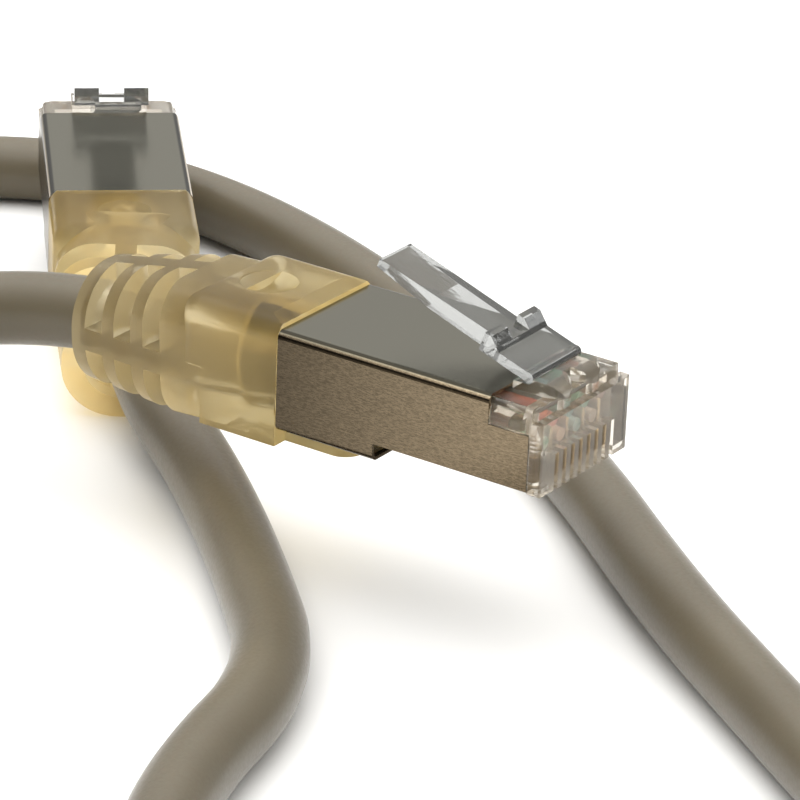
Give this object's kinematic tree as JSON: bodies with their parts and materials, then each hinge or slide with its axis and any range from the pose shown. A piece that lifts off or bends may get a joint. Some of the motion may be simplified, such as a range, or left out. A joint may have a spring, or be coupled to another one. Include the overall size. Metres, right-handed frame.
{
  "type": "shielded modular plug on a patch lead",
  "caption": "Shielded modular network plug with clear latch and body, translucent boot, and its short patch lead with a matching plug.",
  "frame": {"origin": "middle of the near plug's plain front face, above its contact slots", "axes": "-Y out of the nose along the mating direction, +Z towards the latch, X across the contacts"},
  "size_m": [0.1082, 0.1433, 0.0257],
  "materials": {
    "clear_body": "clear moulded polycarbonate, polished",
    "clear_latch": "clear moulded polycarbonate, polished",
    "clear_bar": "clear moulded polycarbonate",
    "shield_metal": "thin folded sheet, bright nickel plating with fine rolling lines",
    "tinned_braid": "tinned wire braid",
    "boot_plastic": "soft translucent moulded plastic, pale yellow",
    "gilt_contact": "gold-plated blade",
    "cable_jacket": "satin extruded jacket, warm grey",
    "wire_white_orange": "thin extruded insulation",
    "wire_orange": "thin extruded insulation",
    "wire_white_green": "thin extruded insulation",
    "wire_blue": "thin extruded insulation",
    "wire_white_blue": "thin extruded insulation",
    "wire_green": "thin extruded insulation",
    "wire_white_brown": "thin extruded insulation",
    "wire_brown": "thin extruded insulation"
  },
  "bodies": {
    "lead": {"plug_body": "clear_body", "shield": "shield_metal", "load_bar": "clear_bar", "braid": "tinned_braid", "boot": "boot_plastic", "contact_1": "gilt_contact", "wire_1": "wire_white_orange", "contact_2": "gilt_contact", "wire_2": "wire_orange", "contact_3": "gilt_contact", "wire_3": "wire_white_green", "contact_4": "gilt_contact", "wire_4": "wire_blue", "contact_5": "gilt_contact", "wire_5": "wire_white_blue", "contact_6": "gilt_contact", "wire_6": "wire_green", "contact_7": "gilt_contact", "wire_7": "wire_white_brown", "contact_8": "gilt_contact", "wire_8": "wire_brown", "far_plug_body": "clear_body", "far_shield": "shield_metal", "far_load_bar": "clear_bar", "far_braid": "tinned_braid", "far_boot": "boot_plastic", "far_contact_1": "gilt_contact", "far_wire_1": "wire_white_orange", "far_contact_2": "gilt_contact", "far_wire_2": "wire_orange", "far_contact_3": "gilt_contact", "far_wire_3": "wire_white_green", "far_contact_4": "gilt_contact", "far_wire_4": "wire_blue", "far_contact_5": "gilt_contact", "far_wire_5": "wire_white_blue", "far_contact_6": "gilt_contact", "far_wire_6": "wire_green", "far_contact_7": "gilt_contact", "far_wire_7": "wire_white_brown", "far_contact_8": "gilt_contact", "far_wire_8": "wire_brown", "cable": "cable_jacket"},
    "near_latch": {"latch": "clear_latch"},
    "far_latch": {"far_latch": "clear_latch"}
  },
  "joints": [
    {"name": "latch_press", "type": "hinge", "parent": "lead", "child": "near_latch", "pos_m": [0, 0.00295, 0.00335], "axis": [-1, 0, 0], "range_deg": [0, 15], "stiffness_Nm_per_rad": 0.05},
    {"name": "far_latch_press", "type": "hinge", "parent": "lead", "child": "far_latch", "pos_m": [0.03992, 0.07253, -0.00449], "axis": [0.6561, -0.7547, 0], "range_deg": [0, 15], "stiffness_Nm_per_rad": 0.05}
  ]
}
